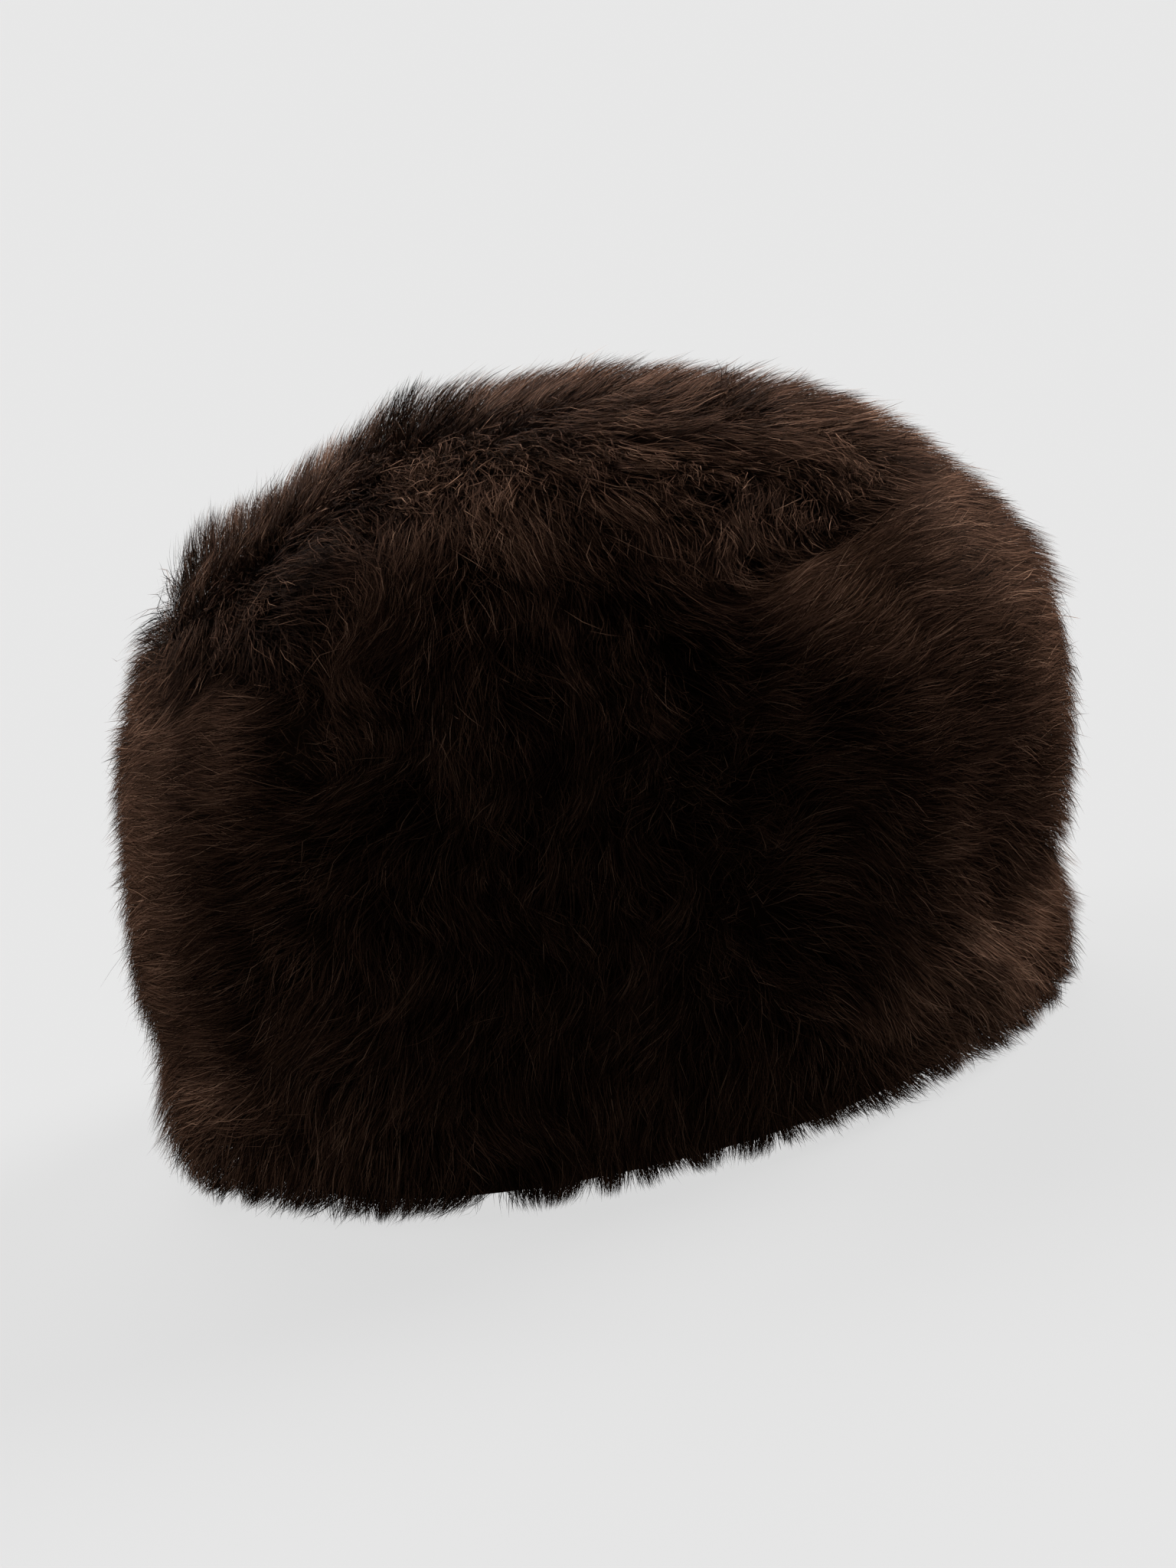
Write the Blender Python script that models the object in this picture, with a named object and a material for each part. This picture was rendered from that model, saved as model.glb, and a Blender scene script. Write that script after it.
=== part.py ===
"""Round fur hat: a crown panel, a tall side wall and a lower edge roll, each a thick closed wall of pelt.

Metres, +Z up. The front of the hat is at +X, its back at -X. The flat underside of the edge roll lies in
the plane z = 0, and the origin is below the middle of the hat. Each piece is the outer form of its fur
together with the skin that carries it, open below where the head goes in.
"""

import collections
import math

import bmesh
import bpy
import numpy as np

# Driving dimensions
HEAD_LENGTH = 0.196
HEAD_WIDTH = 0.164
WALL = 0.034
HEIGHT = 0.190
CROWN_THICKNESS = 0.034
BAND_HEIGHT = 0.034
CROWN_RISE = 0.022
HOLLOW_SHIFT = 0.005
RIM_FLARE = 0.004
RIM_FLARE_HEIGHT = 0.007
SEAM_GAP = 0.0004

# Shape of the ovals seen from above: the power of a superellipse, and how far it narrows to the front
PLAN_POWER = 2.1
FRONT_NARROWING = 0.06

# Roundness of the hollow's top, as the power of a superellipse
HOLLOW_POWER = 2.6

# Where the hollow starts to round over, as a share of its depth
HOLLOW_SHOULDER = 0.56

# Size of the crown panel on the inside, as a share of the head oval
CROWN_INNER_SHARE = 0.66

# Soft tufts all over the fur: two crossed waves with their depth, their count round the hat, how far they
# turn for each level of the profile, and the levels over which they fade at the rim and at the top
TUFT_DEPTH = 0.0011
TUFTS_AROUND = 11
TUFT_SLANT = 4.5
CROSSED_TUFTS_AROUND = 7
CROSSED_TUFT_SLANT = -7.6
TUFT_FADE_AT_RIM = 0.4
TUFT_FADE_AT_TOP = 1.2

# Mesh density
POINTS_AROUND = 64
EDGE_RINGS = 9
SIDE_RINGS = 18
CROWN_RINGS = 11
HOLLOW_WALL_RINGS = 6
HOLLOW_DOME_RINGS = 5
CROWN_INNER_RINGS = 7

HALF_LENGTH = HEAD_LENGTH / 2 + WALL
HALF_WIDTH = HEAD_WIDTH / 2 + WALL
SEAM_HEIGHT = HEIGHT - CROWN_RISE
HOLLOW_DEPTH = HEIGHT - CROWN_THICKNESS
SHOULDER_HEIGHT = HOLLOW_SHOULDER * HOLLOW_DEPTH

# The profile's levels: the edge roll runs from 0 to 1, the side wall from 1 to 2, the crown from 2 to 3
SIDE_LEVEL = 1
CROWN_LEVEL = 2
TOP_LEVEL = 3

# Sections of the outer form. height is a share of the piece's own height, back and front are shares of
# HALF_LENGTH, and side is a share of HALF_WIDTH.
Section = collections.namedtuple("Section", "height back front side")

EDGE_SECTIONS = (
    Section(0.00, 0.930, 0.812, 0.886),
    Section(0.07, 0.968, 0.848, 0.920),
    Section(0.25, 0.995, 0.878, 0.945),
    Section(0.50, 1.005, 0.896, 0.960),
    Section(0.75, 1.000, 0.904, 0.960),
    Section(0.92, 0.984, 0.896, 0.948),
    Section(1.00, 0.970, 0.884, 0.936),
)

SIDE_SECTIONS = (
    Section(0.00, 0.970, 0.884, 0.936),
    Section(0.05, 0.988, 0.910, 0.955),
    Section(0.14, 1.000, 0.948, 0.974),
    Section(0.25, 1.000, 0.982, 0.990),
    Section(0.37, 0.990, 1.002, 1.000),
    Section(0.48, 0.972, 1.005, 0.996),
    Section(0.59, 0.942, 0.994, 0.974),
    Section(0.69, 0.896, 0.954, 0.930),
    Section(0.78, 0.854, 0.898, 0.868),
    Section(0.86, 0.808, 0.834, 0.800),
    Section(0.94, 0.712, 0.758, 0.722),
    Section(1.00, 0.625, 0.662, 0.645),
)

CROWN_SECTIONS = (
    Section(0.00, 0.625, 0.662, 0.645),
    Section(0.28, 0.540, 0.560, 0.553),
    Section(0.54, 0.455, 0.452, 0.445),
    Section(0.77, 0.330, 0.320, 0.318),
    Section(0.93, 0.182, 0.172, 0.176),
    Section(1.00, 0.000, 0.000, 0.000),
)

# Hollows and swells of the outer form. turn is the bearing in degrees from the front, towards the far side
# (+Y). level is a level of the profile. across is a spread in degrees and along a spread in levels. inward
# and down are shares of WALL, and a negative value swells.
Dent = collections.namedtuple("Dent", "turn level across along inward down")

DENTS = (
    Dent(turn=186, level=1.84, across=28, along=0.07, inward=-0.09, down=0.00),
    Dent(turn=180, level=2.20, across=40, along=0.34, inward=0.00, down=0.13),
    Dent(turn=180, level=2.80, across=70, along=0.12, inward=0.00, down=-0.06),
    Dent(turn=250, level=1.40, across=26, along=0.16, inward=0.10, down=0.00),
    Dent(turn=285, level=1.66, across=24, along=0.14, inward=-0.06, down=0.00),
    Dent(turn=318, level=1.20, across=20, along=0.14, inward=0.08, down=0.00),
    Dent(turn=0, level=1.72, across=22, along=0.10, inward=0.06, down=0.00),
    Dent(turn=8, level=0.45, across=18, along=0.30, inward=-0.08, down=0.00),
    Dent(turn=228, level=0.80, across=10, along=0.40, inward=0.10, down=0.00),
    Dent(turn=40, level=1.50, across=24, along=0.16, inward=-0.07, down=0.00),
    Dent(turn=95, level=1.30, across=24, along=0.16, inward=0.08, down=0.00),
    Dent(turn=130, level=1.62, across=22, along=0.14, inward=-0.06, down=0.00),
    Dent(turn=75, level=2.25, across=40, along=0.30, inward=0.00, down=0.07),
)


def smooth_column(sections, column, share):
    """Value of one column part way up a table, on the smooth curve through its rows."""
    values = np.array([getattr(section, column) for section in sections])
    last = len(values) - 1
    place = np.clip(share, 0, 1) * last
    row = np.minimum(place.astype(int), last - 1)
    part = place - row
    before = values[np.maximum(row - 1, 0)]
    start = values[row]
    end = values[row + 1]
    after = values[np.minimum(row + 2, last)]
    return 0.5 * (
        2 * start
        + (end - before) * part
        + (2 * before - 5 * start + 4 * end - after) * part**2
        + (3 * start - before - 3 * end + after) * part**3
    )


def oval(turn, back, front, side):
    """A closed oval, narrower in front, that reaches back, front and to both sides by the given lengths."""
    across = np.sign(np.sin(turn)) * np.abs(np.sin(turn)) ** (2 / PLAN_POWER)
    ahead = np.sign(np.cos(turn)) * np.abs(np.cos(turn)) ** (2 / PLAN_POWER)
    narrowed = side * (1 - FRONT_NARROWING * ahead)
    return ahead * np.where(ahead > 0, front, back), across * narrowed


def turns_around():
    """The bearings of the points of one ring."""
    return np.arange(POINTS_AROUND) * 2 * math.pi / POINTS_AROUND


def dent_amounts(turn, level):
    """How far the outer form goes in and down at a bearing and a level, in metres."""
    inward = np.zeros(np.broadcast(turn, level).shape)
    down = np.zeros_like(inward)
    for dent in DENTS:
        off = np.abs(np.degrees(turn) - dent.turn)
        off = np.minimum(off, 360 - off)
        bump = np.exp(-((off / dent.across) ** 2) - ((level - dent.level) / dent.along) ** 2)
        inward = inward + dent.inward * WALL * bump
        down = down + dent.down * WALL * bump
    return inward, down


def tuft_height(turn, level):
    """The soft tufts: two crossed waves that fade out at the underside and at the top of the crown."""
    fade = np.clip(level / TUFT_FADE_AT_RIM, 0, 1) * np.clip((TOP_LEVEL - level) / TUFT_FADE_AT_TOP, 0, 1)
    wave = np.sin(TUFTS_AROUND * turn + TUFT_SLANT * level)
    crossed = np.sin(CROSSED_TUFTS_AROUND * turn + CROSSED_TUFT_SLANT * level)
    return TUFT_DEPTH * fade * (wave + crossed)


def outer_rings(sections, base, rise, first_level, count):
    """Rings of the fur's outer form for one piece, as an array of ring, point and x, y, z."""
    turn = turns_around()[None, :]
    share = np.linspace(0, 1, count)[:, None]
    level = first_level + share
    inward, down = dent_amounts(turn, level)
    swell = tuft_height(turn, level) - inward
    back = smooth_column(sections, "back", share) * HALF_LENGTH
    front = smooth_column(sections, "front", share) * HALF_LENGTH
    side = smooth_column(sections, "side", share) * HALF_WIDTH
    x, y = oval(turn, back, front, side)
    reach = np.hypot(x, y)
    grow = 1 + swell / np.maximum(reach, WALL)
    z = base + rise * smooth_column(sections, "height", share) - down * (level > SIDE_LEVEL)
    return np.stack([x * grow, y * grow, np.broadcast_to(z, x.shape)], axis=-1)


def hollow_ring(reach_share, height):
    """One ring of the head hollow, at a share of the head oval's size."""
    flare = RIM_FLARE * np.clip(1 - height / RIM_FLARE_HEIGHT, 0, 1) ** 2
    length = HEAD_LENGTH / 2 * reach_share + flare
    width = HEAD_WIDTH / 2 * reach_share + flare
    x, y = oval(turns_around(), length, length, width)
    return np.stack([x - HOLLOW_SHIFT, y, np.full(POINTS_AROUND, height)], axis=-1)


def hollow_dome_ring(angle):
    """One ring of the hollow's rounded top. The angle runs from 0 at its shoulder to a right angle."""
    rise = math.sin(angle) ** (2 / HOLLOW_POWER)
    reach_share = math.cos(angle) ** (2 / HOLLOW_POWER)
    return hollow_ring(reach_share, SHOULDER_HEIGHT + (HOLLOW_DEPTH - SHOULDER_HEIGHT) * rise)


def seam_angle():
    """The angle on the hollow's rounded top at which the crown panel begins."""
    return math.acos(CROWN_INNER_SHARE ** (HOLLOW_POWER / 2))


def seam_step(outer, inner):
    """A step of SEAM_GAP up and square to the lines that join the outer and the inner ring."""
    line = outer - inner
    line /= np.linalg.norm(line, axis=1, keepdims=True)
    up = np.array([0.0, 0.0, 1.0]) - line * line[:, 2:3]
    return SEAM_GAP * up / np.linalg.norm(up, axis=1, keepdims=True)


def edge_band_rings():
    """The edge roll: outer form upwards, then the hollow's wall downwards, with a flat underside."""
    outer = outer_rings(EDGE_SECTIONS, 0.0, BAND_HEIGHT, 0, EDGE_RINGS)
    half_way = (BAND_HEIGHT + RIM_FLARE_HEIGHT) / 2
    inner = [hollow_ring(1.0, height) for height in (BAND_HEIGHT, half_way, RIM_FLARE_HEIGHT, 0.0)]
    return np.concatenate([outer, np.stack(inner)])


def side_band_rings():
    """The side wall: outer form upwards to the crown's seam, then the hollow's wall downwards."""
    base = BAND_HEIGHT + SEAM_GAP
    outer = outer_rings(SIDE_SECTIONS, base, SEAM_HEIGHT - base, SIDE_LEVEL, SIDE_RINGS)
    angles = np.linspace(seam_angle(), 0, HOLLOW_DOME_RINGS, endpoint=False)
    heights = np.linspace(SHOULDER_HEIGHT, base, HOLLOW_WALL_RINGS)
    dome = [hollow_dome_ring(angle) for angle in angles]
    wall = [hollow_ring(1.0, height) for height in heights]
    return np.concatenate([outer, np.stack(dome), np.stack(wall)])


def crown_top_rings():
    """The crown panel: outer form down from its topmost ring to the seam, then up the hollow's dome."""
    outer = outer_rings(CROWN_SECTIONS, SEAM_HEIGHT, CROWN_RISE, CROWN_LEVEL, CROWN_RINGS)
    angles = np.linspace(seam_angle(), math.pi / 2, CROWN_INNER_RINGS + 1)[:-1]
    inner = np.stack([hollow_dome_ring(angle) for angle in angles])
    step = seam_step(outer[0], inner[0])
    outer[0] += step
    inner[0] += step
    return np.concatenate([outer[-2::-1], inner]), outer[-1].mean(axis=0)


def faces_between(rows, closed):
    """Two triangles for each step round each pair of neighbouring rings, all split along the same way."""
    first = np.arange(rows if closed else rows - 1)[:, None] * POINTS_AROUND
    second = (first + POINTS_AROUND) % (rows * POINTS_AROUND)
    point = np.arange(POINTS_AROUND)
    after = (point + 1) % POINTS_AROUND
    lower = np.stack([first + point, first + after, second + after], axis=-1)
    upper = np.stack([first + point, second + after, second + point], axis=-1)
    return np.concatenate([lower.reshape(-1, 3), upper.reshape(-1, 3)])


def fan(ring_start, pole):
    """Triangles from one ring to a pole."""
    point = np.arange(POINTS_AROUND)
    after = (point + 1) % POINTS_AROUND
    return np.stack([ring_start + point, ring_start + after, np.full(POINTS_AROUND, pole)], axis=-1)


def fur_material(name, colour, roughness):
    """A Principled material for one piece of fur."""
    material = bpy.data.materials.new(name)
    material.use_nodes = True
    shader = material.node_tree.nodes["Principled BSDF"]
    shader.inputs["Base Color"].default_value = (*colour, 1.0)
    shader.inputs["Roughness"].default_value = roughness
    shader.inputs["Metallic"].default_value = 0.0
    return material


def add_piece(name, points, faces, colour, roughness):
    """Makes one named object of a closed shell whose faces point out."""
    mesh = bpy.data.meshes.new(name)
    mesh.from_pydata(points.tolist(), [], faces)
    shell = bmesh.new()
    shell.from_mesh(mesh)
    bmesh.ops.recalc_face_normals(shell, faces=shell.faces)
    shell.to_mesh(mesh)
    shell.free()
    mesh.shade_smooth()
    mesh.materials.append(fur_material(name + "_fur", colour, roughness))
    piece = bpy.data.objects.new(name, mesh)
    bpy.context.scene.collection.objects.link(piece)
    return piece


def main():
    for old in list(bpy.data.objects):
        bpy.data.objects.remove(old, do_unlink=True)

    edge = edge_band_rings()
    side = side_band_rings()
    crown, top = crown_top_rings()
    hollow_top = np.array([-HOLLOW_SHIFT, 0.0, HOLLOW_DEPTH])

    everything = np.concatenate([edge.reshape(-1, 3), side.reshape(-1, 3), crown.reshape(-1, 3)])
    middle = (everything.min(axis=0) + everything.max(axis=0)) / 2
    middle[2] = 0.0

    edge_faces = faces_between(len(edge), closed=True).tolist()
    add_piece("edge_band", edge.reshape(-1, 3) - middle, edge_faces, (0.020, 0.012, 0.008), 0.62)

    side_faces = faces_between(len(side), closed=True).tolist()
    add_piece("side_band", side.reshape(-1, 3) - middle, side_faces, (0.023, 0.013, 0.009), 0.60)

    crown_points = np.concatenate([crown.reshape(-1, 3), [top, hollow_top]]) - middle
    crown_faces = faces_between(len(crown), closed=False).tolist()
    top_pole = len(crown) * POINTS_AROUND
    crown_faces += fan(0, top_pole).tolist()
    crown_faces += fan((len(crown) - 1) * POINTS_AROUND, top_pole + 1).tolist()
    add_piece("crown_top", crown_points, crown_faces, (0.028, 0.016, 0.011), 0.58)


main()
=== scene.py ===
import math

import bpy
import numpy as np
from mathutils import Matrix, Vector


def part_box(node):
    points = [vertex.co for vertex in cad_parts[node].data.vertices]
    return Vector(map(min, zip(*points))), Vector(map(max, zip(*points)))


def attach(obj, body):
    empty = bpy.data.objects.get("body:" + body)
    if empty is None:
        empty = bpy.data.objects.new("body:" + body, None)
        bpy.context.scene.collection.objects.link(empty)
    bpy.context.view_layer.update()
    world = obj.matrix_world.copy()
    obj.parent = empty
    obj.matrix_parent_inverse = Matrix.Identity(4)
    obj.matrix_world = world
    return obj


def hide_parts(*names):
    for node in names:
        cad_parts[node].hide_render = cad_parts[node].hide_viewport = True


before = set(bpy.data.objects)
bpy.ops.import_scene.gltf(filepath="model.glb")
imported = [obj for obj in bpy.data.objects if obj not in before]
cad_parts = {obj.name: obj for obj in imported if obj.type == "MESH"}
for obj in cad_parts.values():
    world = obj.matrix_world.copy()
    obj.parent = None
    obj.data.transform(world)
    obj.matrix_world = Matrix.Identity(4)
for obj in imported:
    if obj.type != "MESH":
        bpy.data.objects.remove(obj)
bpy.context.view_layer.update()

scene = bpy.context.scene
print("packed hat loaded")

# Round fur hat. Every strand of the pile is a thin ribbon with its own root, lay and tip. The strands
# gather into locks, and the locks follow one field of combing directions over the outer form of the hat.

middle = np.array([0.0, 0.0, 0.060])  # every line out of this point meets the outer form once
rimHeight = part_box("edge_band")[1].z
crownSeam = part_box("side_band")[1].z

camera = {
    "around": 2.0,       # degrees that the view comes from behind the hat's right side
    "above": 15.0,
    "roll": 12.0,
    "distance": 1.40,
    "lens": 118.3,
    "sensor": 36.0,
    "frame": (1536, 2048),
    "aimRight": 0.0016,
    "aimDown": 0.0153,
    "target": (0.0, 0.0, 0.095),
}


def viewFrame():
    # ahead = (sin a cos e, cos a cos e, -sin e), right and up turned about it by the roll
    around, above, roll = (math.radians(camera[key]) for key in ("around", "above", "roll"))
    level = math.cos(above)
    ahead = Vector((math.sin(around) * level, math.cos(around) * level, -math.sin(above)))
    aside = ahead.cross(Vector((0, 0, 1))).normalized()
    upright = aside.cross(ahead)
    right = aside * math.cos(roll) - upright * math.sin(roll)
    up = aside * math.sin(roll) + upright * math.cos(roll)
    aim = Vector(camera["target"]) + right * camera["aimRight"] - up * camera["aimDown"]
    return aim - ahead * camera["distance"], ahead, right, up


viewEye, viewAhead, viewRight, viewUp = viewFrame()

form = {
    "lowest": -60.0,      # degrees above the horizon as seen from the middle
    "step": 1.0,
    "samples": 15,        # points along each edge of a triangle
    "soften": 2,
    "lowestRoot": -31.0,  # degrees, where the pile starts
    "profilePoints": 243,
}


def nodeTriangles(name):
    # corner points of a CAD node's triangles: triangle, corner, xyz
    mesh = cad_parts[name].data
    mesh.calc_loop_triangles()
    points = np.empty(len(mesh.vertices) * 3, dtype=np.float32)
    mesh.vertices.foreach_get("co", points)
    corners = np.empty(len(mesh.loop_triangles) * 3, dtype=np.int32)
    mesh.loop_triangles.foreach_get("vertices", corners)
    return points.reshape(-1, 3)[corners].reshape(-1, 3, 3).astype(float)


def bearings(offset):
    # turn = atan2(y, x), rise = atan2(z, hypot(x, y)), both in degrees
    turn = np.degrees(np.arctan2(offset[..., 1], offset[..., 0])) % 360
    rise = np.degrees(np.arctan2(offset[..., 2], np.hypot(offset[..., 0], offset[..., 1])))
    return turn, rise


def reachTable():
    # the longest distance from the middle in each cell of turn and rise, over points a, b, c of each
    # triangle: p = a + u (b - a) + v (c - a) with u + v <= 1
    corners = np.concatenate([nodeTriangles(name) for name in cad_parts])
    n = form["samples"]
    u, v = np.meshgrid((np.arange(n) + 0.5) / n, (np.arange(n) + 0.5) / n)
    keep = u + v <= 1
    u, v = u[keep][None, :, None], v[keep][None, :, None]
    a, b, c = (corners[:, i, None, :] for i in range(3))
    points = (a + u * (b - a) + v * (c - a)).reshape(-1, 3) - middle
    turn, rise = bearings(points)
    far = np.linalg.norm(points, axis=1)
    columns = int(360 / form["step"])
    rows = int((90 - form["lowest"]) / form["step"])
    cell = np.minimum((rise - form["lowest"]) / form["step"], rows - 1).astype(int) * columns
    cell += np.minimum(turn / form["step"], columns - 1).astype(int)
    order = np.lexsort((far, cell))
    last = np.append(np.diff(cell[order]) > 0, True)
    table = np.zeros(rows * columns)
    table[cell[order][last]] = far[order][last]
    table = table.reshape(rows, columns)
    for row in range(rows - 2, -1, -1):  # an empty cell takes the one above
        table[row] = np.where(table[row] > 0, table[row], table[row + 1])
    table[-1] = np.where(table[-1] > 0, table[-1], table[-2])
    for _ in range(form["soften"]):  # running mean over three cells each way
        table = (table + np.roll(table, 1, 1) + np.roll(table, -1, 1)) / 3
        padded = np.concatenate([table[:1], table, table[-1:]])
        table = (padded[:-2] + padded[1:-1] + padded[2:]) / 3
    table[-3:] = table[-3:].mean()
    return table


reachCells = reachTable()


def reach(direction):
    # distance from the middle to the outer form, by straight lines between the four nearest cells, and
    # never past the floor: min(table, middle.z / -direction.z)
    turn, rise = bearings(direction)
    rows, columns = reachCells.shape
    across = turn / form["step"] - 0.5
    along = np.clip((rise - form["lowest"]) / form["step"] - 0.5, 0, rows - 1.001)
    left = np.floor(across).astype(int)
    low = np.floor(along).astype(int)
    partAcross, partAlong = across - left, along - low
    left, right = left % columns, (left + 1) % columns
    lower = reachCells[low, left] * (1 - partAcross) + reachCells[low, right] * partAcross
    upper = reachCells[low + 1, left] * (1 - partAcross) + reachCells[low + 1, right] * partAcross
    floorReach = middle[2] / np.maximum(-direction[..., 2], 1e-3)
    return np.minimum(lower * (1 - partAlong) + upper * partAlong, floorReach)


def unit(vectors):
    # v / |v|
    return vectors / np.maximum(np.linalg.norm(vectors, axis=-1, keepdims=True), 1e-12)


def onForm(points, depth):
    # the point below the outer form along the line from the middle: m + d (reach(d) - depth)
    direction = unit(points - middle)
    return middle + direction * (reach(direction) - depth)[..., None]


def formNormal(points, gap=0.004):
    # cross product of two short steps along the outer form
    direction = unit(points - middle)
    up = np.zeros_like(direction)
    up[..., 2] = 1
    up[np.abs(direction[..., 2]) > 0.97] = (1, 0, 0)
    sideways = unit(np.cross(up, direction))
    upwards = np.cross(direction, sideways)
    corners = [onForm(points + step * gap, 0) for step in (sideways, -sideways, upwards, -upwards)]
    return unit(np.cross(corners[0] - corners[1], corners[2] - corners[3]))


print("outer form measured from the frame")


def spotSum(points, table):
    # sum of amount exp(-(distance / reach)^2) over the rows of a table
    total = np.zeros(points.shape[:-1])
    for place, spread, amount in table:
        off = np.linalg.norm(points * 1000 - np.array(place), axis=-1) / spread
        total += amount * np.exp(-off ** 2)
    return total


def waves(points, size, seed, count=5):
    # smooth noise: sum of sin(k . p + phase) over random k of length about 2 pi / size
    rng = np.random.default_rng(seed)
    value = np.zeros(points.shape[:-1])
    for _ in range(count):
        k = unit(rng.normal(size=3)) * 2 * math.pi / (size * rng.uniform(0.7, 1.5))
        value += np.sin(points @ k + rng.uniform(0, 2 * math.pi))
    return value / math.sqrt(count / 2)


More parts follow.
